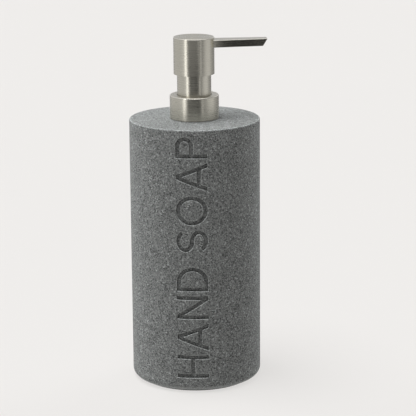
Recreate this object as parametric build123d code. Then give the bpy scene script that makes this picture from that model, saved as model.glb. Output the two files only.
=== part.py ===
from build123d import *
import os
from math import atan2, degrees, hypot, sqrt

# Refillable soap pump dispenser: a cast stone-effect bottle with a brushed steel pump.
# Millimetres, +Z up. The origin is the centre of the rest face, on the bottle's axis.
# The engraved word faces -Y and the spout points to the right of it, a little to the rear.

# ---- Bottle ----
BODY_RADIUS = 40.0
BODY_TOP = 163.8
BODY_WALL = 6.0
TOP_WALL = 7.0
BODY_FOOT_ROUND = 4.2
BODY_RIM_ROUND = 0.8
PAD_PROUD = 1.0
PAD_THICKNESS = 2.0
PAD_GAP = 0.3
PAD_GROOVE_DEPTH = 0.4
PAD_GROOVE_WIDTH = 1.5
PAD_GROOVE_RADII = (14.0, 22.0, 30.0)
PLATE_THICKNESS = 6.0
PLATE_RADIUS = BODY_RADIUS - 4.8

# ---- Engraving ----
ENGRAVED_WORD = "HAND SOAP"
ENGRAVING_DEPTH = 1.1
ENGRAVING_LIP_ROUND = 0.35
CAP_HEIGHT = 18.9
PEN_WIDTH = 2.5
LETTER_GAP = 3.0
WORD_GAP = 9.4
ENGRAVING_BOTTOM = 9.7

# ---- Neck and its thread, eight turns to the inch ----
NECK_BORE = 8.5
NECK_RADIUS = 10.9
NECK_PLUG_RADIUS = 13.0
NECK_FLANGE_RADIUS = 16.0
NECK_FLANGE_THICKNESS = 2.0
NECK_TOP = BODY_TOP + 9.8
THREAD_PITCH = 25.4 / 8
THREAD_START = BODY_TOP + 3.4
THREAD_CREST = NECK_RADIUS + 1.1
NECK_THREAD_TURNS = 1.25
NECK_THREAD_BASE = 1.5
NECK_THREAD_LAND = 0.7

# ---- Collar: plastic closure pressed into a steel shell ----
COLLAR_RADIUS = 15.0
COLLAR_WALL = 0.5
COLLAR_TOP_WALL = 0.6
COLLAR_BOTTOM = BODY_TOP + 0.3
COLLAR_TOP = BODY_TOP + 14.6
COLLAR_ROUND = 0.8
COLLAR_HOLE = 10.7
CLOSURE_BOTTOM = COLLAR_BOTTOM + 0.3
CLOSURE_BORE = THREAD_CREST + 0.35
CLOSURE_THREAD_CREST = NECK_RADIUS + 0.4
CLOSURE_THREAD_TURNS = 1.3
CLOSURE_THREAD_BASE = 1.3
CLOSURE_THREAD_LAND = 0.6
THREAD_FLANK_DROP = 1.35

# ---- Pump engine ----
GASKET_THICKNESS = 1.0
FLANGE_RADIUS = 11.6
FLANGE_THICKNESS = 1.5
FLANGE_BOTTOM = NECK_TOP + GASKET_THICKNESS
FLANGE_TOP = FLANGE_BOTTOM + FLANGE_THICKNESS
BARREL_RADIUS = 7.0
BARREL_BORE = 5.9
SLIDING_GAP = 0.05
VENT_RADIUS = 0.6
SEAT_HEIGHT = 129.5
SEAT_HOLE = 1.7
VALVE_CHAMBER_RADIUS = 3.4
RETAINER_BOTTOM = 134.2
RETAINER_THICKNESS = 2.0
RETAINER_RECESS = 1.0
RETAINER_HOLE_COUNT = 4
RETAINER_HOLE_RADIUS = 0.9
RETAINER_HOLE_CIRCLE = 2.4
INLET_BALL_RADIUS = 2.5
BALL_GAP = 0.02
SPIGOT_RADIUS = 4.6
SPIGOT_BOTTOM = 117.0
TUBE_RADIUS = 3.2
TUBE_BORE = 2.3
TUBE_TOP = 127.0
TUBE_BOTTOM = 9.2
TUBE_CUT_ANGLE = 30.0

# ---- Piston, stem and spring, at rest with the head up ----
STROKE = 12.0
STEM_RADIUS = 3.0
STEM_BORE = 1.6
STEM_BOTTOM = 160.0
STEM_TOP = 202.0
STEM_BEAD_RADIUS = 3.4
STEM_BEAD_HEIGHT = 0.9
SHOULDER_RADIUS = 4.0
SHOULDER_HEIGHT = 1.5
SEAL_BOTTOM = 161.0
SEAL_TOP = 167.0
SEAL_LIP = 1.0
SEAL_WAIST_RADIUS = 4.8
SPRING_BOTTOM = RETAINER_BOTTOM + RETAINER_THICKNESS
SPRING_TOP = 158.5
SPRING_WIRE = 0.9
SPRING_RADIUS = 4.2
SPRING_TURNS = 7
SPRING_SEAT_RADIUS = 5.0
SPRING_SPIGOT_RADIUS = 3.4
SPRING_SPIGOT_LENGTH = 2.0
SPRING_SEAT_FLANGE = 1.4

# ---- Sleeve and stem guide ----
SLEEVE_RADIUS = 10.4
SLEEVE_WALL = 0.5
SLEEVE_TOP = 194.4
GUIDE_FLOOR = 3.0
GUIDE_WALL = 1.2
GUIDE_DROP = 0.2

# ---- Head ----
HEAD_RADIUS = 12.45
HEAD_WALL = 0.4
HEAD_TOP_WALL = 0.5
HEAD_BOTTOM = 191.2
HEAD_TOP = 213.7
HEAD_ROUND = 0.55
SKIRT_BORE = 11.0
SKIRT_RECESS = 0.8
BOSS_RADIUS = 5.4
CORE_UNDERSIDE = SLEEVE_TOP + STROKE + 0.4
OUTLET_BALL_RADIUS = 1.9
OUTLET_CHAMBER_RADIUS = 2.3
OUTLET_CHAMBER_TOP = 206.2
OUTLET_SLOT_LENGTH = 4.2
OUTLET_SLOT_WIDTH = 1.2

# ---- Spout: a flat steel tube that tapers to a slanted mouth ----
SPOUT_AZIMUTH = 10.1
SPOUT_ROOT_WIDTH = 10.3
SPOUT_TIP_WIDTH = 6.9
SPOUT_HEIGHT = 4.5
SPOUT_WALL = 0.5
SPOUT_ROUND = 0.35
SPOUT_TOP = HEAD_TOP - 1.86
SPOUT_INNER_END = 6.0
SPOUT_TIP_TOP = 44.75
SPOUT_TIP_BOTTOM = 41.85
LINER_END = 40.6
CHANNEL_WIDTH = 4.6
CHANNEL_HEIGHT = 1.4

ON_FLOOR = (Align.CENTER, Align.CENTER, Align.MIN)


def turned(*outline):
    """Solid of revolution about Z from (radius, height) points."""
    return revolve(make_face(Plane.XZ * Polyline(*outline, close=True)), Axis.Z)


def tube(outer, inner, bottom, top):
    """Plain tube or, with no inner radius, a plain disc."""
    return turned((inner, bottom), (outer, bottom), (outer, top), (inner, top))


def block(x_low, x_high, y_low, y_high, z_low, z_high):
    """Box between two corners."""
    centre = Pos((x_low + x_high) / 2, (y_low + y_high) / 2, (z_low + z_high) / 2)
    return centre * Box(x_high - x_low, y_high - y_low, z_high - z_low)


def rounded_rim(part, radius, height, amount):
    """Round the circular edges of one radius at one height."""
    rims = [
        edge for edge in part.edges().filter_by(GeomType.CIRCLE)
        if abs(edge.radius - radius) < 0.01 and abs(edge.center().Z - height) < 0.01
    ]
    return fillet(rims, amount)


def thread_ridge(root_radius, crest_radius, start, turns, base, land):
    """Right-hand trapezoid ridge, sunk slightly into the wall that carries it."""
    bite = 0.15 if crest_radius > root_radius else -0.15
    buried = root_radius - bite
    outline = Polyline(
        (buried, start - base / 2),
        (crest_radius, start - land / 2),
        (crest_radius, start + land / 2),
        (buried, start + base / 2),
        close=True,
    )
    path = Pos(0, 0, start) * Helix(THREAD_PITCH, turns * THREAD_PITCH, root_radius)
    return sweep(make_face(Plane.XZ * outline), path=path, is_frenet=True)


# ---- Engraved capitals: each function gives a sketch and its width ----

def pen_stroke(x_start, y_start, x_end, y_end):
    """Straight stroke between two points, of the pen's width."""
    angle = degrees(atan2(y_end - y_start, x_end - x_start))
    length = hypot(x_end - x_start, y_end - y_start)
    middle = Pos((x_start + x_end) / 2, (y_start + y_end) / 2)
    return middle * Rot(0, 0, angle) * Rectangle(length, PEN_WIDTH)


def cap_box(width):
    """The letter's own rectangle, which trims its slanted strokes."""
    return Pos(width / 2, CAP_HEIGHT / 2) * Rectangle(width, CAP_HEIGHT)


def upright(x_centre):
    """Vertical stroke of full height."""
    return pen_stroke(x_centre, 0, x_centre, CAP_HEIGHT)


def d_shape(left, straight, middle, radius):
    """Rectangle from the left edge, closed on the right by a half disc."""
    disc = Pos(straight, middle) * Circle(radius)
    right_half = Pos(straight + radius / 2, middle) * Rectangle(radius, 2 * radius)
    slab = Pos((left + straight) / 2, middle) * Rectangle(straight - left, 2 * radius)
    return slab + (disc & right_half)


def bowl(width, bottom, top):
    """Closed D-shaped loop from the left edge to the given width."""
    radius = (top - bottom) / 2
    middle = (top + bottom) / 2
    straight = width - radius
    outer = d_shape(0, straight, middle, radius)
    return outer - d_shape(PEN_WIDTH, straight, middle, radius - PEN_WIDTH)


def letter_h():
    width = 0.77 * CAP_HEIGHT
    left = upright(PEN_WIDTH / 2)
    right = upright(width - PEN_WIDTH / 2)
    bar = pen_stroke(0, CAP_HEIGHT / 2, width, CAP_HEIGHT / 2)
    return left + right + bar, width


def letter_a():
    width = 0.9 * CAP_HEIGHT
    apex = width / 2
    overrun = 0.1 * CAP_HEIGHT
    slope = (apex - PEN_WIDTH / 2) / CAP_HEIGHT
    foot = PEN_WIDTH / 2 - slope * overrun
    left = pen_stroke(foot, -overrun, apex + slope * overrun, CAP_HEIGHT + overrun)
    right = pen_stroke(width - foot, -overrun, apex - slope * overrun, CAP_HEIGHT + overrun)
    bar_height = 0.27 * CAP_HEIGHT
    bar_inset = PEN_WIDTH / 2 + slope * bar_height
    bar = pen_stroke(bar_inset, bar_height, width - bar_inset, bar_height)
    return (left + right + bar) & cap_box(width), width


def letter_n():
    width = 0.77 * CAP_HEIGHT
    left = upright(PEN_WIDTH / 2)
    right = upright(width - PEN_WIDTH / 2)
    overrun = 0.1 * CAP_HEIGHT
    lean = (width - PEN_WIDTH) / CAP_HEIGHT * overrun
    diagonal = pen_stroke(
        PEN_WIDTH / 2 - lean, CAP_HEIGHT + overrun, width - PEN_WIDTH / 2 + lean, -overrun
    )
    return left + right + (diagonal & cap_box(width)), width


def letter_d():
    width = 0.8 * CAP_HEIGHT
    return bowl(width, 0, CAP_HEIGHT), width


def letter_p():
    width = 0.68 * CAP_HEIGHT
    return upright(PEN_WIDTH / 2) + bowl(width, 0.44 * CAP_HEIGHT, CAP_HEIGHT), width


def letter_o():
    width = 0.95 * CAP_HEIGHT
    outer = Ellipse(width / 2, CAP_HEIGHT / 2)
    inner = Ellipse(width / 2 - PEN_WIDTH, CAP_HEIGHT / 2 - PEN_WIDTH)
    return Pos(width / 2, CAP_HEIGHT / 2) * (outer - inner), width


def letter_s():
    width = 0.72 * CAP_HEIGHT
    across = (width - PEN_WIDTH) / 2
    up = (CAP_HEIGHT - PEN_WIDTH) / 4
    low_centre = (width / 2, PEN_WIDTH / 2 + up)
    high_centre = (width / 2, CAP_HEIGHT - PEN_WIDTH / 2 - up)
    high = EllipticalCenterArc(high_centre, across, up, start_angle=25, arc_size=245)
    low = EllipticalCenterArc(low_centre, across, up, start_angle=-155, arc_size=245)
    return trace(high, PEN_WIDTH) + trace(low, PEN_WIDTH), width


CAPITALS = {
    "H": letter_h, "A": letter_a, "N": letter_n, "D": letter_d,
    "S": letter_s, "O": letter_o, "P": letter_p,
}


def engraving():
    """Groove of even depth that reads upward on the front of the bottle."""
    clear = 1.0
    page = Plane(
        origin=(CAP_HEIGHT / 2, -BODY_RADIUS - clear, ENGRAVING_BOTTOM),
        x_dir=(0, 0, 1),
        z_dir=(0, -1, 0),
    )
    reach = BODY_RADIUS - sqrt(BODY_RADIUS**2 - CAP_HEIGHT**2 / 4) + ENGRAVING_DEPTH + 2 * clear
    floor = Cylinder(BODY_RADIUS - ENGRAVING_DEPTH, 3 * BODY_TOP)
    grooves = []
    cursor = 0.0
    for capital in ENGRAVED_WORD:
        if capital == " ":
            cursor += WORD_GAP - LETTER_GAP
            continue
        sketch, width = CAPITALS[capital]()
        face = page * (Pos(cursor, 0) * sketch)
        grooves.append(extrude(face, amount=-reach) - floor)
        cursor += width + LETTER_GAP
    print("engraving length", round(cursor - LETTER_GAP, 2))
    return grooves


def on_front_skin(edge):
    """True for an edge that lies in the bottle's outer surface, near the front line."""
    points = [edge.position_at(share) for share in (0.0, 0.37, 1.0)]
    skin = all(abs(hypot(point.X, point.Y) - BODY_RADIUS) < 0.01 for point in points)
    return skin and points[1].Y < 0 and abs(points[1].X) < CAP_HEIGHT


def engraved(body, groove):
    """Cut one letter into the bottle and round its lip."""
    span = groove.bounding_box()
    body -= groove
    lip = [
        edge for edge in body.edges()
        if span.min.Z <= edge.center().Z <= span.max.Z and on_front_skin(edge)
    ]
    return fillet(lip, ENGRAVING_LIP_ROUND)


# ---- Bottle pieces ----

def stone_body():
    cavity = BODY_RADIUS - BODY_WALL
    ledge = PAD_THICKNESS + PLATE_THICKNESS
    body = turned(
        (PLATE_RADIUS, PAD_PROUD),
        (BODY_RADIUS, PAD_PROUD),
        (BODY_RADIUS, BODY_TOP),
        (NECK_PLUG_RADIUS, BODY_TOP),
        (NECK_PLUG_RADIUS, BODY_TOP - TOP_WALL),
        (cavity, BODY_TOP - TOP_WALL),
        (cavity, ledge),
        (PLATE_RADIUS, ledge),
    )
    body = rounded_rim(body, BODY_RADIUS, PAD_PROUD, BODY_FOOT_ROUND)
    body = rounded_rim(body, BODY_RADIUS, BODY_TOP, BODY_RIM_ROUND)
    for groove in engraving():
        body = engraved(body, groove)
    return body


def base_plate():
    return Cylinder(PLATE_RADIUS, PLATE_THICKNESS, align=ON_FLOOR).moved(Pos(0, 0, PAD_THICKNESS))


def base_pad():
    pad = Cylinder(PLATE_RADIUS - PAD_GAP, PAD_THICKNESS, align=ON_FLOOR)
    half = PAD_GROOVE_WIDTH / 2
    for radius in PAD_GROOVE_RADII:
        pad -= tube(radius + half, radius - half, 0, PAD_GROOVE_DEPTH)
    return pad


def neck_insert():
    under = BODY_TOP - TOP_WALL
    neck = turned(
        (NECK_BORE, under - NECK_FLANGE_THICKNESS),
        (NECK_FLANGE_RADIUS, under - NECK_FLANGE_THICKNESS),
        (NECK_FLANGE_RADIUS, under),
        (NECK_PLUG_RADIUS, under),
        (NECK_PLUG_RADIUS, BODY_TOP),
        (NECK_RADIUS, BODY_TOP),
        (NECK_RADIUS, NECK_TOP),
        (NECK_BORE, NECK_TOP),
    )
    ridge = thread_ridge(
        NECK_RADIUS, THREAD_CREST, THREAD_START, NECK_THREAD_TURNS, NECK_THREAD_BASE, NECK_THREAD_LAND
    )
    return neck + ridge


# ---- Collar pieces ----

def closure():
    shoulder = FLANGE_TOP + SLIDING_GAP
    top = COLLAR_TOP - COLLAR_TOP_WALL
    outer = COLLAR_RADIUS - COLLAR_WALL
    cap = turned(
        (CLOSURE_BORE, CLOSURE_BOTTOM),
        (outer, CLOSURE_BOTTOM),
        (outer, top),
        (COLLAR_HOLE, top),
        (COLLAR_HOLE, shoulder),
        (CLOSURE_BORE, shoulder),
    )
    ridge = thread_ridge(
        CLOSURE_BORE, CLOSURE_THREAD_CREST, THREAD_START - THREAD_FLANK_DROP,
        CLOSURE_THREAD_TURNS, CLOSURE_THREAD_BASE, CLOSURE_THREAD_LAND,
    )
    return cap + ridge


def collar_shell():
    inner = COLLAR_RADIUS - COLLAR_WALL
    shell = turned(
        (inner, COLLAR_BOTTOM),
        (COLLAR_RADIUS, COLLAR_BOTTOM),
        (COLLAR_RADIUS, COLLAR_TOP),
        (COLLAR_HOLE, COLLAR_TOP),
        (COLLAR_HOLE, COLLAR_TOP - COLLAR_TOP_WALL),
        (inner, COLLAR_TOP - COLLAR_TOP_WALL),
    )
    return rounded_rim(shell, COLLAR_RADIUS, COLLAR_TOP, COLLAR_ROUND)


# ---- Pump engine pieces ----

def gasket():
    return tube(NECK_RADIUS, NECK_BORE, NECK_TOP, FLANGE_BOTTOM)


def pump_housing():
    spigot_shoulder = 127.5
    barrel_bottom = 131.0
    cone_top = SEAT_HEIGHT + VALVE_CHAMBER_RADIUS - SEAT_HOLE
    housing = turned(
        (BARREL_BORE, FLANGE_TOP),
        (FLANGE_RADIUS, FLANGE_TOP),
        (FLANGE_RADIUS, FLANGE_BOTTOM),
        (BARREL_RADIUS, FLANGE_BOTTOM),
        (BARREL_RADIUS, barrel_bottom),
        (SPIGOT_RADIUS, spigot_shoulder),
        (SPIGOT_RADIUS, SPIGOT_BOTTOM),
        (TUBE_RADIUS, SPIGOT_BOTTOM),
        (TUBE_RADIUS, TUBE_TOP),
        (SEAT_HOLE, TUBE_TOP),
        (SEAT_HOLE, SEAT_HEIGHT),
        (VALVE_CHAMBER_RADIUS, cone_top),
        (VALVE_CHAMBER_RADIUS, RETAINER_BOTTOM),
        (BARREL_BORE, RETAINER_BOTTOM),
    )
    vent_height = (SEAL_BOTTOM + SEAL_TOP) / 2
    vent = Pos(0, BARREL_RADIUS, vent_height) * Rot(90, 0, 0) * Cylinder(VENT_RADIUS, BARREL_RADIUS)
    return housing - vent


def ball_retainer():
    retainer = Cylinder(BARREL_BORE, RETAINER_THICKNESS, align=ON_FLOOR)
    retainer -= Cylinder(VALVE_CHAMBER_RADIUS, RETAINER_RECESS, align=ON_FLOOR)
    holes = PolarLocations(RETAINER_HOLE_CIRCLE, RETAINER_HOLE_COUNT)
    for place in holes:
        retainer -= place * Cylinder(RETAINER_HOLE_RADIUS, 4 * RETAINER_THICKNESS)
    return retainer.moved(Pos(0, 0, RETAINER_BOTTOM))


def inlet_ball():
    cone_tip = SEAT_HEIGHT - SEAT_HOLE
    return Pos(0, 0, cone_tip + sqrt(2) * INLET_BALL_RADIUS + BALL_GAP) * Sphere(INLET_BALL_RADIUS)


def dip_tube():
    pipe = tube(TUBE_RADIUS, TUBE_BORE, TUBE_BOTTOM, TUBE_TOP)
    knife = Pos(-TUBE_RADIUS, 0, TUBE_BOTTOM) * Rot(0, -TUBE_CUT_ANGLE, 0)
    return pipe - knife * Box(8 * TUBE_RADIUS, 4 * TUBE_RADIUS, 20, align=(Align.MIN, Align.CENTER, Align.MAX))


def return_spring():
    wire = SPRING_WIRE / 2
    rise = SPRING_TOP - SPRING_BOTTOM - SPRING_WIRE
    path = Pos(0, 0, SPRING_BOTTOM + wire) * Helix(rise / SPRING_TURNS, rise, SPRING_RADIUS)
    section = Plane.XZ * (Pos(SPRING_RADIUS, SPRING_BOTTOM + wire) * Circle(wire))
    return sweep(section, path=path, is_frenet=True)


def stem_guide():
    plug_bottom = SEAL_TOP + SLIDING_GAP + SHOULDER_HEIGHT + SLIDING_GAP
    bore = STEM_RADIUS + SLIDING_GAP
    outer = SLEEVE_RADIUS - SLEEVE_WALL
    inner = outer - GUIDE_WALL
    floor = FLANGE_TOP + GUIDE_FLOOR
    top = SLEEVE_TOP - GUIDE_DROP
    return turned(
        (bore, plug_bottom),
        (BARREL_BORE, plug_bottom),
        (BARREL_BORE, FLANGE_TOP),
        (outer, FLANGE_TOP),
        (outer, top),
        (inner, top),
        (inner, floor),
        (bore, floor),
    )


def head_sleeve():
    return tube(SLEEVE_RADIUS, SLEEVE_RADIUS - SLEEVE_WALL, FLANGE_TOP, SLEEVE_TOP)


# ---- Piston pieces ----

def piston_seal():
    bore = STEM_RADIUS + SLIDING_GAP
    lip = BARREL_BORE - SLIDING_GAP
    flare = lip - SEAL_WAIST_RADIUS
    return turned(
        (bore, SEAL_BOTTOM),
        (lip, SEAL_BOTTOM),
        (lip, SEAL_BOTTOM + SEAL_LIP),
        (SEAL_WAIST_RADIUS, SEAL_BOTTOM + SEAL_LIP + flare),
        (SEAL_WAIST_RADIUS, SEAL_TOP - SEAL_LIP - flare),
        (lip, SEAL_TOP - SEAL_LIP),
        (lip, SEAL_TOP),
        (bore, SEAL_TOP),
    )


def spring_seat():
    bore = STEM_BORE + 0.2
    cup = STEM_BEAD_RADIUS + 0.4
    floor = SPRING_TOP + SPRING_SEAT_FLANGE
    return turned(
        (bore, SPRING_TOP - SPRING_SPIGOT_LENGTH),
        (SPRING_SPIGOT_RADIUS, SPRING_TOP - SPRING_SPIGOT_LENGTH),
        (SPRING_SPIGOT_RADIUS, SPRING_TOP),
        (SPRING_SEAT_RADIUS, SPRING_TOP),
        (SPRING_SEAT_RADIUS, SEAL_BOTTOM),
        (cup, SEAL_BOTTOM),
        (cup, floor),
        (bore, floor),
    )


# ---- Head pieces ----

def stem():
    shoulder = SEAL_TOP + SLIDING_GAP
    bead_top = STEM_BOTTOM + STEM_BEAD_HEIGHT
    return turned(
        (STEM_BORE, STEM_BOTTOM),
        (STEM_BEAD_RADIUS, STEM_BOTTOM),
        (STEM_BEAD_RADIUS, bead_top),
        (STEM_RADIUS, bead_top),
        (STEM_RADIUS, shoulder),
        (SHOULDER_RADIUS, shoulder),
        (SHOULDER_RADIUS, shoulder + SHOULDER_HEIGHT),
        (STEM_RADIUS, shoulder + SHOULDER_HEIGHT),
        (STEM_RADIUS, STEM_TOP),
        (STEM_BORE, STEM_TOP),
    )


def outlet_ball():
    rise = sqrt(OUTLET_BALL_RADIUS**2 - STEM_BORE**2)
    return Pos(0, 0, STEM_TOP + rise + BALL_GAP) * Sphere(OUTLET_BALL_RADIUS)


def spout_form(inset):
    """Bar along +X, straight inside the head and tapered outside it, with every wall moved in."""
    root = SPOUT_ROOT_WIDTH / 2 - inset
    tip = SPOUT_TIP_WIDTH / 2 - inset
    plan = Polyline(
        (SPOUT_INNER_END, -root),
        (HEAD_RADIUS, -root),
        (SPOUT_TIP_TOP, -tip),
        (SPOUT_TIP_TOP, tip),
        (HEAD_RADIUS, root),
        (SPOUT_INNER_END, root),
        close=True,
    )
    bottom = SPOUT_TOP - SPOUT_HEIGHT + inset
    return Pos(0, 0, bottom) * extrude(make_face(plan), SPOUT_HEIGHT - 2 * inset)


def spout_bar():
    """Outer form of the spout, with its slanted mouth."""
    bar = spout_form(0)
    long_edges = [edge for edge in bar.edges() if abs(edge.tangent_at(0.5).X) > 0.9]
    bar = fillet(long_edges, SPOUT_ROUND)
    mouth = Polyline(
        (SPOUT_TIP_TOP, SPOUT_TOP),
        (SPOUT_TIP_TOP, SPOUT_TOP - SPOUT_HEIGHT),
        (SPOUT_TIP_BOTTOM, SPOUT_TOP - SPOUT_HEIGHT),
        close=True,
    )
    return bar - extrude(make_face(Plane.XZ * mouth), SPOUT_ROOT_WIDTH, both=True)


def soap_channel(x_low, x_high):
    """Flat passage that carries the soap along the spout."""
    middle = SPOUT_TOP - SPOUT_HEIGHT / 2
    half = CHANNEL_HEIGHT / 2
    return block(x_low, x_high, -CHANNEL_WIDTH / 2, CHANNEL_WIDTH / 2, middle - half, middle + half)


def aimed(part):
    """Turn a piece built along +X to the spout's rest direction."""
    return part.rotate(Axis.Z, SPOUT_AZIMUTH)


def spout():
    return aimed(spout_bar() - spout_form(SPOUT_WALL))


def spout_liner():
    half = SPOUT_ROOT_WIDTH / 2
    reach = block(0, LINER_END, -half, half, SPOUT_TOP - SPOUT_HEIGHT, SPOUT_TOP)
    return aimed((spout_form(SPOUT_WALL) & reach) - soap_channel(0, SPOUT_TIP_TOP))


def head_shell():
    inner = HEAD_RADIUS - HEAD_WALL
    shell = turned(
        (inner, HEAD_BOTTOM),
        (HEAD_RADIUS, HEAD_BOTTOM),
        (HEAD_RADIUS, HEAD_TOP),
        (0, HEAD_TOP),
        (0, HEAD_TOP - HEAD_TOP_WALL),
        (inner, HEAD_TOP - HEAD_TOP_WALL),
    )
    shell = rounded_rim(shell, HEAD_RADIUS, HEAD_TOP, HEAD_ROUND)
    return aimed(shell - spout_bar())


def head_core():
    outer = HEAD_RADIUS - HEAD_WALL
    core = turned(
        (SKIRT_BORE, HEAD_BOTTOM + SKIRT_RECESS),
        (outer, HEAD_BOTTOM + SKIRT_RECESS),
        (outer, HEAD_TOP - HEAD_TOP_WALL),
        (0, HEAD_TOP - HEAD_TOP_WALL),
        (0, OUTLET_CHAMBER_TOP),
        (OUTLET_CHAMBER_RADIUS, OUTLET_CHAMBER_TOP),
        (OUTLET_CHAMBER_RADIUS, STEM_TOP),
        (STEM_RADIUS, STEM_TOP),
        (STEM_RADIUS, HEAD_BOTTOM),
        (BOSS_RADIUS, HEAD_BOTTOM),
        (BOSS_RADIUS, CORE_UNDERSIDE),
        (SKIRT_BORE, CORE_UNDERSIDE),
    )
    channel_top = SPOUT_TOP - SPOUT_HEIGHT / 2 + CHANNEL_HEIGHT / 2
    half_length = OUTLET_SLOT_LENGTH / 2
    half_width = OUTLET_SLOT_WIDTH / 2
    slot_bottom = OUTLET_CHAMBER_TOP - 0.8
    core -= block(-half_length, half_length, -half_width, half_width, slot_bottom, channel_top)
    core -= soap_channel(0, SPOUT_INNER_END)
    return aimed(core - spout_bar())


PIECES = (
    stone_body, base_plate, base_pad, neck_insert,
    closure, collar_shell,
    gasket, pump_housing, ball_retainer, inlet_ball, dip_tube, return_spring, stem_guide, head_sleeve,
    piston_seal, spring_seat,
    stem, outlet_ball, head_core, head_shell, spout, spout_liner,
)

os.makedirs("parts", exist_ok=True)
for piece in PIECES:
    export_step(piece(), os.path.join("parts", piece.__name__ + ".step"))
    print(piece.__name__)
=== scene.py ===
import math

import bpy
from mathutils import Matrix, Vector


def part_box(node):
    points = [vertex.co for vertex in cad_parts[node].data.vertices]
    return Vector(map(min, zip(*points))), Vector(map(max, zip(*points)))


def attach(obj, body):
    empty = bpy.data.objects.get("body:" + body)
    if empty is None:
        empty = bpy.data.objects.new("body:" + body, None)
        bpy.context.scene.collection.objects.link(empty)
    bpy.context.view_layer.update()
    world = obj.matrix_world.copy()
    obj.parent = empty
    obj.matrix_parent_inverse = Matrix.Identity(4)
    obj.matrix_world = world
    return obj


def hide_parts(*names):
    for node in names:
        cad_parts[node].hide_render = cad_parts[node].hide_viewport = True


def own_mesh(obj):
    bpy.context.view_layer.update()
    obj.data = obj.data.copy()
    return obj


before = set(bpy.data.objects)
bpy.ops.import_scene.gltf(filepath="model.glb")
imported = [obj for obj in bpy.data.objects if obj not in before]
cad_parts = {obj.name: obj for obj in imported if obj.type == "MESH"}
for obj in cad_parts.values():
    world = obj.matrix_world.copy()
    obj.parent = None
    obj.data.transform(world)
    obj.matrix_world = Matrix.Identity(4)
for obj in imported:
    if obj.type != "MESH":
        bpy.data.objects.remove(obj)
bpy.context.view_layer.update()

MILLIMETRE = 0.001

# ---- Camera, fitted to the photograph's outlines: metres and degrees ----
CAMERA_AZIMUTH = 3.1        # from the engraved front, towards the spout's side
CAMERA_DISTANCE = 1.093     # from the bottle's axis, level
CAMERA_HEIGHT = 0.3797
CAMERA_TILT = 14.02         # looking down
CAMERA_YAW = 0.41           # aimed this much to the right of the bottle's axis
CAMERA_ROLL = -0.46
CAMERA_FIELD = 13.04

# ---- Sizes of the object ----
BODY_LOW, BODY_HIGH = (Vector(corner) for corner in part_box("stone_body"))
BODY_RADIUS = BODY_HIGH.x
HEAD_LOW, HEAD_HIGH = (Vector(corner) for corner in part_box("head_shell"))
SPOUT_AZIMUTH = math.radians(10.1)
SPRING_LOW, SPRING_HIGH = (Vector(corner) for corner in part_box("return_spring"))
SPRING_WIRE = 0.9 * MILLIMETRE
SPRING_TURNS = 7
CLOSED_RISE = 1.05 * SPRING_WIRE
COIL_STEPS = 48             # rings of points in one turn
WIRE_SIDES = 14

# ---- Scales of the materials' patterns, in features to a metre ----
CLOUDS = 70.0
SAND = 1250.0
GRIT = 1400.0
MOULD_CLOUDS = 180.0
DIE_MARKS = 1600.0
SOAP_FILM = 700.0
ROUND_BRUSH = (12.0, 2600.0)    # along the brush lines, and across them
LONG_BRUSH = (15.0, 5200.0)

# ---- Grains, cells and relief of the materials ----
FINE_GRAIN = 0.5 * MILLIMETRE
PAD_CELL = 0.6 * MILLIMETRE
GASKET_CELL = 0.35 * MILLIMETRE
SAND_RELIEF = 0.25 * MILLIMETRE
LINE_RELIEF = 0.02 * MILLIMETRE
GLOSSY_RELIEF = 0.02 * MILLIMETRE
MATTE_RELIEF = 0.03 * MILLIMETRE

# ---- Bands on the bottle where painted shade and painted light change the stone's colour, in millimetres ----
GROOVE_SHADE = (1.0, 0.3)       # depths under the wall
OUTER_SKIN = (1.6, 1.4)
# Painted highlight on the lips of the engraving
LIP_HIGHLIGHT = (0.6, 0.4)
TOP_EDGE = (2.5, 2.0)           # depths under the top
FOOT_EDGE = (5.0, 6.0)          # heights over the foot
# Painted light on the foot's rounding
FOOT_LIGHT_BAND = (3.4, 1.6)

STEEL_DARK = (0.54, 0.518, 0.454, 1.0)
STEEL_LIGHT = (0.65, 0.622, 0.54, 1.0)
# Colour of the painted highlight on the steel's rounded edges
STEEL_EDGE_HIGHLIGHT = (0.93, 0.9, 0.82, 1.0)

# ---- Stage and lights ----
FLOOR_RADIUS = 12.0
FLOOR_COLOUR_LEVEL = 0.11
FLOOR_SEEN, FLOOR_LIGHT = 0.64, 0.7
ROOM_SEEN, ROOM_LIGHT = 0.84, 0.04

# Name: azimuth from the front towards the right, elevation, spread and level.
SUNS = {
    "top_light": (-60, 76, 40, 1.4),
    "left_light": (-123, 8, 60, 1.4),
    "right_light": (141, 8, 40, 1.38),
}

# Cards that only the metal sees, in two rings: azimuth from the camera where each card ends, and
# its level, going round from behind by the left.
RING_START = -180
RING_DISTANCE = 0.6
RING_FOOT, RING_JOIN, RING_TOP = -0.6, 0.22, 0.9
LOW_CARDS = (
    (-135, 0.5), (-70, 0.64), (-55, 0.74), (-52, 1.2), (-42, 1.75), (-37, 1.0), (-32, 0.5),
    (5, 0.08), (29, 0.025), (33, 0.2), (36, 0.35), (42, 0.85), (52, 0.33), (62, 0.5),
    (72, 0.66), (105, 0.76), (125, 0.5), (180, 0.33),
)
HIGH_CARDS = (
    (-140, 0.56), (-60, 0.6), (-53, 0.3), (-37, 2.2), (60, 0.15), (125, 0.33), (180, 0.57),
)
CARD_STEP = 3               # degrees between a curved card's corners

# Small cards close to the pump at the head's height: the head and spout see more of them than the
# sleeve and collar do. Azimuths from the camera, and level.
NEAR_DISTANCE = 0.1
NEAR_LOW = HEAD_LOW.z - 13.0 * MILLIMETRE
NEAR_HIGH = HEAD_HIGH.z + 50.0 * MILLIMETRE
NEAR_CARDS = {"near_card": (-37, 22, 0.245), "side_card": (22, 27, 0.5)}

# Cards overhead: front edge and back edge along Y, and level.
ROOF_HALF_WIDTH = 0.7
ROOF_CARDS = {"front_roof_card": (-0.75, -0.25, 2.0), "roof_card": (-0.25, 0.7, 1.05)}


# ---- Node helpers ----

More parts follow.
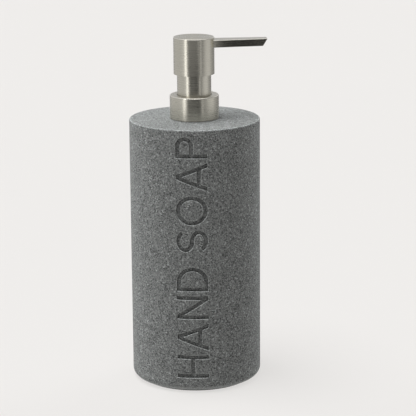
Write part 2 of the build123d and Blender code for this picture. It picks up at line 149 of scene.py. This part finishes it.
class Shader:
    """A material whose nodes are added in reading order."""

    def __init__(self, name, **principled):
        self.material = bpy.data.materials.new(name)
        self.material.use_nodes = True
        self.tree = self.material.node_tree
        self.surface = self.tree.nodes["Principled BSDF"]
        for socket, value in principled.items():
            self.surface.inputs[socket.replace("_", " ")].default_value = value

    def add(self, kind, inputs=None, **settings):
        node = self.tree.nodes.new("ShaderNode" + kind)
        for name, value in settings.items():
            setattr(node, name, value)
        for socket, value in (inputs or {}).items():
            self.feed(value, node.inputs[socket])
        return node

    def feed(self, value, socket):
        if isinstance(value, bpy.types.NodeSocket):
            self.tree.links.new(value, socket)
        else:
            socket.default_value = value

    def point(self):
        return self.add("TexCoord").outputs["Object"]

    def normal(self):
        return self.add("TexCoord").outputs["Normal"]

    def math(self, operation, first, second=0.0):
        return self.add("Math", {0: first, 1: second}, operation=operation).outputs["Value"]

    def product(self, first, *others):
        for other in others:
            first = self.math("MULTIPLY", first, other)
        return first

    def ramp(self, value, low, high, to_low=0.0, to_high=1.0):
        node = self.add("MapRange", {"Value": value, "From Min": low, "From Max": high,
                                     "To Min": to_low, "To Max": to_high})
        return node.outputs["Result"]

    def noise(self, vector, scale, detail=2.0, roughness=0.5):
        node = self.add("TexNoise", {"Vector": vector, "Scale": scale, "Detail": detail,
                                     "Roughness": roughness})
        return node.outputs["Fac"]

    def cells(self, vector, scale):
        """One random number for each cell of the given scale."""
        node = self.add("TexVoronoi", {"Vector": vector, "Scale": scale})
        return self.split(node.outputs["Color"])["X"]

    def mix(self, factor, first, second):
        node = self.add("Mix", data_type="RGBA")
        self.feed(factor, node.inputs["Factor"])
        self.feed(first, node.inputs["A"])
        self.feed(second, node.inputs["B"])
        return node.outputs["Result"]

    def bump(self, height, strength, distance):
        node = self.add("Bump", {"Height": height, "Strength": strength, "Distance": distance})
        self.feed(node.outputs["Normal"], self.surface.inputs["Normal"])

    def colour(self, socket):
        self.feed(socket, self.surface.inputs["Base Color"])

    def roughness(self, socket):
        self.feed(socket, self.surface.inputs["Roughness"])

    def split(self, vector):
        return self.add("SeparateXYZ", {0: vector}).outputs

    def flat(self, point):
        """The point's part across the bottle's axis."""
        part = self.add("VectorMath", {0: point, 1: (1.0, 1.0, 0.0)}, operation="MULTIPLY")
        return part.outputs[0]

    def axis_radius(self, point):
        """Distance from the bottle's axis."""
        length = self.add("VectorMath", {0: self.flat(point)}, operation="LENGTH")
        return length.outputs["Value"]

    def outwardness(self, point):
        """How squarely a surface faces away from the axis: 1 on a round wall, 0 on a flat top."""
        outward = self.add("VectorMath", {0: self.flat(point)}, operation="NORMALIZE").outputs[0]
        facing = self.add("VectorMath", {0: self.normal(), 1: outward}, operation="DOT_PRODUCT")
        return facing.outputs["Value"]


def grey(level, warmth=0.0):
    """Linear colour near grey: positive warmth leans to red, negative to blue."""
    return (level * (1 + warmth), level, level * (1 - warmth), 1.0)


def stone_grey(level):
    """Linear grey that leans a little to green."""
    return (level * 0.955, level, level * 0.985, 1.0)


# ---- Materials ----

def sandy_colour(shader, point, sand):
    """Faint clouds, then dark and light sand grains, then scattered dark and light grit."""
    cloud = shader.noise(point, CLOUDS, 3.0)
    grit = shader.cells(point, GRIT)
    colour = shader.mix(shader.ramp(cloud, 0.35, 0.65), stone_grey(0.157), stone_grey(0.183))
    for amount, level in (
        (shader.ramp(sand, 0.5, 0.34, 0.0, 0.72), 0.06),
        (shader.ramp(sand, 0.52, 0.7, 0.0, 0.66), 0.34),
        (shader.ramp(grit, 0.17, 0.12, 0.0, 0.8), 0.045),
        (shader.ramp(grit, 0.94, 0.97, 0.0, 0.5), 0.5),
    ):
        colour = shader.mix(amount, colour, stone_grey(level))
    return colour


def stone_resin():
    """Cast stone-effect resin: sandy grey, with painted shade in the engraving, painted highlights
    on the lips of the engraving and on the top rim, and painted light round the foot."""
    shader = Shader("stone_resin", Roughness=0.75)
    point = shader.point()
    radius = shader.axis_radius(point)
    height = shader.split(point)["Z"]
    outwardness = shader.outwardness(point)

    def under_wall(band, *levels):
        return shader.ramp(radius, *(BODY_RADIUS - depth * MILLIMETRE for depth in band), *levels)

    def under_top(band, *levels):
        return shader.ramp(height, *(BODY_HIGH.z - depth * MILLIMETRE for depth in band), *levels)

    def over_foot(band, *levels):
        return shader.ramp(height, *(BODY_LOW.z + rise * MILLIMETRE for rise in band), *levels)

    sand = shader.noise(point, SAND, 1.0, 0.7)
    base = sandy_colour(shader, point, sand)

    below_top = under_top(TOP_EDGE, 1.0, 0.0)
    on_wall = shader.product(below_top, over_foot(FOOT_EDGE))
    # Painted shade: the engraving is darkened, standing in for the shade in its recess.
    painted_groove_shade = shader.product(under_wall(GROOVE_SHADE, 1.0, 0.0), under_wall(OUTER_SKIN), on_wall)
    base = shader.mix(shader.product(painted_groove_shade, 0.3), base, stone_grey(0.03))

    # Painted highlight: the lips of the engraving and the rounded top rim are made paler, as if
    # they caught the light, broken up by the sand.
    lip_highlight = shader.product(under_wall(LIP_HIGHLIGHT), on_wall)
    rim = shader.product(
        shader.ramp(outwardness, 0.05, 0.25),
        shader.ramp(outwardness, 0.7, 0.5),
        shader.ramp(below_top, 1.0, 0.0),
    )
    turned_away = shader.ramp(outwardness, 0.98, 0.92)
    highlight_patchiness = shader.ramp(sand, 0.42, 0.6, 0.25, 1.0)
    painted_edge_highlight = shader.product(shader.math("MAXIMUM", lip_highlight, rim), turned_away, highlight_patchiness)
    base = shader.mix(painted_edge_highlight, base, stone_grey(0.42))

    # Painted light: the foot's rounding is made paler, standing in for light bounced up from the
    # floor.
    painted_foot_light = over_foot(FOOT_LIGHT_BAND, 0.0, 0.55)
    shader.colour(shader.mix(painted_foot_light, base, stone_grey(0.34)))
    shader.bump(sand, 0.65, SAND_RELIEF)
    return shader.material


def brushed_steel(name, lines_from, gloss, **more):
    """Brushed steel with a painted highlight on its rounded edges; lines_from gives the stretched
    coordinates that its brush lines follow, and gloss is its lowest roughness."""
    shader = Shader(name, Metallic=1.0, **more)
    lines = shader.noise(lines_from(shader), 1.0, 3.0, 0.7)
    brushed = shader.mix(shader.ramp(lines, 0.3, 0.7), STEEL_DARK, STEEL_LIGHT)
    tilt = shader.math("ABSOLUTE", shader.split(shader.normal())["Z"])
    # Painted highlight: the rounded edges are made paler, as if they caught the light.
    edge_highlight = shader.product(shader.ramp(tilt, 0.15, 0.4), shader.ramp(tilt, 0.98, 0.93), 0.8)
    shader.colour(shader.mix(edge_highlight, brushed, STEEL_EDGE_HIGHLIGHT))
    shader.roughness(shader.ramp(lines, 0.3, 0.7, gloss, gloss + 0.1))
    shader.bump(lines, 0.025, LINE_RELIEF)
    return shader


def round_lines(shader):
    """Lines that run round the axis, on walls and on flat tops alike."""
    along, across = ROUND_BRUSH
    point = shader.point()
    parts = shader.split(point)
    run = shader.math("ADD", parts["Z"], shader.axis_radius(point))
    return shader.add("CombineXYZ", {
        "X": shader.product(parts["X"], along),
        "Y": shader.product(parts["Y"], along),
        "Z": shader.product(run, across),
    }).outputs["Vector"]


def long_lines(shader):
    """Lines that run along the spout."""
    along, across = LONG_BRUSH
    turned = shader.add("VectorRotate", {"Vector": shader.point(), "Angle": -SPOUT_AZIMUTH},
                        rotation_type="Z_AXIS").outputs[0]
    return shader.add("Mapping", {"Vector": turned, "Scale": (along, across, across)}).outputs[0]


def turned_steel():
    """Steel brushed on a lathe: the highlight is drawn out along the axis."""
    shader = brushed_steel("brushed_shell", round_lines, 0.23,
                           Anisotropic=0.75, Anisotropic_Rotation=0.25)
    tangent = shader.add("Tangent", direction_type="RADIAL", axis="Z")
    shader.feed(tangent.outputs[0], shader.surface.inputs["Tangent"])
    return shader.material


def spout_steel():
    """Steel brushed lengthwise."""
    return brushed_steel("spout_steel", long_lines, 0.12).material


def moulded(name, dark, light, roughness, relief, **more):
    """Moulded plastic or rubber: clouded colour, and a fine grain of the given relief."""
    shader = Shader(name, **more)
    point = shader.point()
    cloud = shader.noise(point, MOULD_CLOUDS, 4.0, 0.6)
    shader.colour(shader.mix(shader.ramp(cloud, 0.3, 0.7), dark, light))
    skin = shader.noise(point, 1.0 / FINE_GRAIN, 3.0, 0.6)
    shader.roughness(shader.ramp(skin, 0.3, 0.7, roughness - 0.05, roughness + 0.08))
    shader.bump(skin, 0.3, relief)
    return shader.material


def foamed(name, dark, light, cell):
    """Foam: closed cells of the given size with darker pores."""
    shader = Shader(name, Roughness=0.9)
    pores = shader.add("TexVoronoi", {"Vector": shader.point(), "Scale": 1.0 / cell})
    distance = pores.outputs["Distance"]
    shader.colour(shader.mix(shader.ramp(distance, 0.15, 0.5), dark, light))
    shader.bump(distance, 0.6, 0.25 * cell)
    return shader.material


def drawn_wire():
    """Bright drawn stainless wire with faint die marks."""
    shader = Shader("spring_steel", Metallic=1.0)
    marks = shader.noise(shader.point(), DIE_MARKS, 4.0, 0.7)
    shader.colour(shader.mix(shader.ramp(marks, 0.35, 0.65), grey(0.58, 0.01), grey(0.72, 0.01)))
    shader.roughness(shader.ramp(marks, 0.35, 0.65, 0.16, 0.3))
    shader.bump(marks, 0.05, LINE_RELIEF)
    return shader.material


def ball_glass():
    """Clear glass with a faint green tint and a film of soap."""
    shader = Shader("ball_glass", Transmission_Weight=1.0, IOR=1.5,
                    Base_Color=(0.86, 0.95, 0.93, 1.0))
    film = shader.noise(shader.point(), SOAP_FILM, 3.0)
    shader.roughness(shader.ramp(film, 0.4, 0.7, 0.02, 0.12))
    return shader.material


def dress(material, *nodes):
    """Give CAD nodes a material."""
    for name in nodes:
        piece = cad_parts[name]
        piece.data.materials.clear()
        piece.data.materials.append(material)


dress(stone_resin(), "stone_body", "base_plate")
dress(turned_steel(), "collar_shell", "head_sleeve", "head_shell")
dress(spout_steel(), "spout")
dress(foamed("pad_rubber", grey(0.012), grey(0.03), PAD_CELL), "base_pad")
dress(moulded("dark_plastic", grey(0.012), grey(0.022), 0.42, MATTE_RELIEF),
      "neck_insert", "closure", "stem_guide", "head_core", "spout_liner")
dress(moulded("clear_plastic", grey(0.7, -0.02), grey(0.82, -0.01), 0.22, GLOSSY_RELIEF,
              Transmission_Weight=0.45, IOR=1.49),
      "pump_housing", "ball_retainer", "dip_tube")
dress(moulded("white_plastic", grey(0.72, 0.01), grey(0.82), 0.34, GLOSSY_RELIEF),
      "spring_seat", "stem")
dress(moulded("soft_seal", grey(0.52, 0.03), grey(0.62, 0.02), 0.55, MATTE_RELIEF),
      "piston_seal")
dress(foamed("foam_gasket", grey(0.55, 0.01), grey(0.75, 0.01), GASKET_CELL), "gasket")
dress(ball_glass(), "inlet_ball", "outlet_ball")


# ---- Return spring: a coil with closed ends ----

def coil_height(turns_up, bottom, top):
    """Height of the wire's centre: the first and last turns lie closed, the others rise evenly."""
    free_rise = (top - bottom - 2 * CLOSED_RISE) / (SPRING_TURNS - 2)
    first = min(turns_up, 1.0) * CLOSED_RISE
    middle = min(max(turns_up - 1.0, 0.0), SPRING_TURNS - 2.0) * free_rise
    last = max(turns_up - SPRING_TURNS + 1.0, 0.0) * CLOSED_RISE
    return bottom + first + middle + last


def spring_coil():
    """Round wire swept along the coil, as rings of points joined by quads."""
    wire = SPRING_WIRE / 2
    mean_radius = SPRING_HIGH.x - wire
    steps = SPRING_TURNS * COIL_STEPS
    points = []
    for step in range(steps + 1):
        turns_up = step / COIL_STEPS
        turn = 2 * math.pi * turns_up
        height = coil_height(turns_up, SPRING_LOW.z + wire, SPRING_HIGH.z - wire)
        for side in range(WIRE_SIDES):
            around = 2 * math.pi * side / WIRE_SIDES
            reach = mean_radius + wire * math.cos(around)
            points.append((reach * math.cos(turn), reach * math.sin(turn),
                           height + wire * math.sin(around)))
    faces = [tuple(reversed(range(WIRE_SIDES))), tuple(range(steps * WIRE_SIDES, len(points)))]
    for step in range(steps):
        here = step * WIRE_SIDES
        above = here + WIRE_SIDES
        for side in range(WIRE_SIDES):
            after = (side + 1) % WIRE_SIDES
            faces.append((here + side, here + after, above + after, above + side))
    mesh = bpy.data.meshes.new("spring_coil")
    mesh.from_pydata(points, [], faces)
    mesh.shade_smooth()
    mesh.materials.append(drawn_wire())
    coil = bpy.data.objects.new("spring_coil", mesh)
    bpy.context.collection.objects.link(coil)
    return coil


coil = spring_coil()
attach(coil, "pump_engine")
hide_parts("return_spring")
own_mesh(coil)


# ---- Stage, lights and camera ----

def seen_or_light(tree, seen, light):
    """Strength that is one value where the camera sees it, and another as light."""
    path = tree.nodes.new("ShaderNodeLightPath")
    strength = tree.nodes.new("ShaderNodeMapRange")
    strength.inputs["To Min"].default_value = light
    strength.inputs["To Max"].default_value = seen
    tree.links.new(path.outputs["Is Camera Ray"], strength.inputs["Value"])
    return strength.outputs["Result"]


def stage_floor():
    """Pale floor that the bottle stands on: it glows a little, so shadows on it stay light."""
    bpy.ops.mesh.primitive_circle_add(vertices=96, radius=FLOOR_RADIUS, fill_type="NGON")
    floor = bpy.context.object
    floor.name = "floor"
    shader = Shader("floor", Roughness=0.9, Base_Color=grey(FLOOR_COLOUR_LEVEL, 0.02),
                    Specular_IOR_Level=0.0, Emission_Color=grey(1.0, 0.02))
    strength = seen_or_light(shader.tree, FLOOR_SEEN, FLOOR_LIGHT)
    shader.feed(strength, shader.surface.inputs["Emission Strength"])
    floor.data.materials.append(shader.material)
    floor.visible_glossy = False


def room():
    """Pale surroundings."""
    world = bpy.data.worlds.new("room")
    world.use_nodes = True
    background = world.node_tree.nodes["Background"]
    background.inputs["Color"].default_value = grey(1.0, 0.025)
    strength = seen_or_light(world.node_tree, ROOM_SEEN, ROOM_LIGHT)
    world.node_tree.links.new(strength, background.inputs["Strength"])
    bpy.context.scene.world = world


def soft_sun(name, azimuth, elevation, spread, level):
    """Wide even light from far away. Level 1 shows white as white."""
    light = bpy.data.lights.new(name, "SUN")
    light.energy = math.pi * level
    light.angle = math.radians(spread)
    lamp = bpy.data.objects.new(name, light)
    turn = math.radians(azimuth)
    lift = math.radians(elevation)
    away = Vector((math.sin(turn) * math.cos(lift), -math.cos(turn) * math.cos(lift),
                   math.sin(lift)))
    lamp.rotation_euler = (-away).to_track_quat("-Z", "Y").to_euler()
    lamp.visible_glossy = False
    bpy.context.collection.objects.link(lamp)


def glow_card(name, points, faces, level):
    """Card that only shiny surfaces see."""
    mesh = bpy.data.meshes.new(name)
    mesh.from_pydata(points, [], faces)
    card = bpy.data.objects.new(name, mesh)
    bpy.context.collection.objects.link(card)
    glow = Shader(name, Base_Color=grey(0.0), Specular_IOR_Level=0.0, Emission_Color=grey(1.0),
                  Emission_Strength=level)
    mesh.materials.append(glow.material)
    card.visible_camera = False
    card.visible_diffuse = False
    card.visible_shadow = False
    card.visible_transmission = False


def upright_card(name, start, end, level, low, high, distance):
    """Curved upright card round the bottle; azimuths are measured from the camera."""
    steps = max(2, round(abs(end - start) / CARD_STEP))
    points = []
    for step in range(steps + 1):
        turn = math.radians(CAMERA_AZIMUTH + start + (end - start) * step / steps)
        x = distance * math.sin(turn)
        y = -distance * math.cos(turn)
        points += [(x, y, low), (x, y, high)]
    faces = [(2 * i, 2 * i + 2, 2 * i + 3, 2 * i + 1) for i in range(steps)]
    glow_card(name, points, faces, level)


def card_ring(name, cards, low, high):
    """Cards side by side all the way round."""
    start = RING_START
    for index, (end, level) in enumerate(cards):
        upright_card(f"{name}_{index}", start, end, level, low, high, RING_DISTANCE)
        start = end


def overhead_card(name, front, back, level):
    """Level card above the bottle."""
    corners = [(x, y, RING_TOP) for x, y in (
        (-ROOF_HALF_WIDTH, front), (ROOF_HALF_WIDTH, front),
        (ROOF_HALF_WIDTH, back), (-ROOF_HALF_WIDTH, back),
    )]
    glow_card(name, corners, [(0, 1, 2, 3)], level)


def camera():
    """Camera at the front, a little above the pump, looking down."""
    stand = math.radians(CAMERA_AZIMUTH)
    tilt = math.radians(CAMERA_TILT)
    yaw = stand - math.radians(CAMERA_YAW)
    forward = Vector((-math.sin(yaw) * math.cos(tilt), math.cos(yaw) * math.cos(tilt),
                      -math.sin(tilt)))
    right = forward.cross(Vector((0, 0, 1))).normalized()
    up = right.cross(forward)
    roll = Matrix.Rotation(math.radians(CAMERA_ROLL), 3, -forward)
    basis = Matrix((roll @ right, roll @ up, -forward)).transposed().to_4x4()
    place = Vector((math.sin(stand), -math.cos(stand), 0)) * CAMERA_DISTANCE
    place.z = CAMERA_HEIGHT
    lens = bpy.data.cameras.new("camera")
    lens.angle = math.radians(CAMERA_FIELD)
    viewer = bpy.data.objects.new("camera", lens)
    viewer.matrix_world = Matrix.Translation(place) @ basis
    bpy.context.collection.objects.link(viewer)
    bpy.context.scene.camera = viewer


stage_floor()
room()
for name, sun in SUNS.items():
    soft_sun(name, *sun)
card_ring("low_card", LOW_CARDS, RING_FOOT, RING_JOIN)
card_ring("high_card", HIGH_CARDS, RING_JOIN, RING_TOP)
for name, card in NEAR_CARDS.items():
    upright_card(name, *card, NEAR_LOW, NEAR_HIGH, NEAR_DISTANCE)
for name, card in ROOF_CARDS.items():
    overhead_card(name, *card)
bpy.context.scene.view_settings.view_transform = "Standard"
camera()
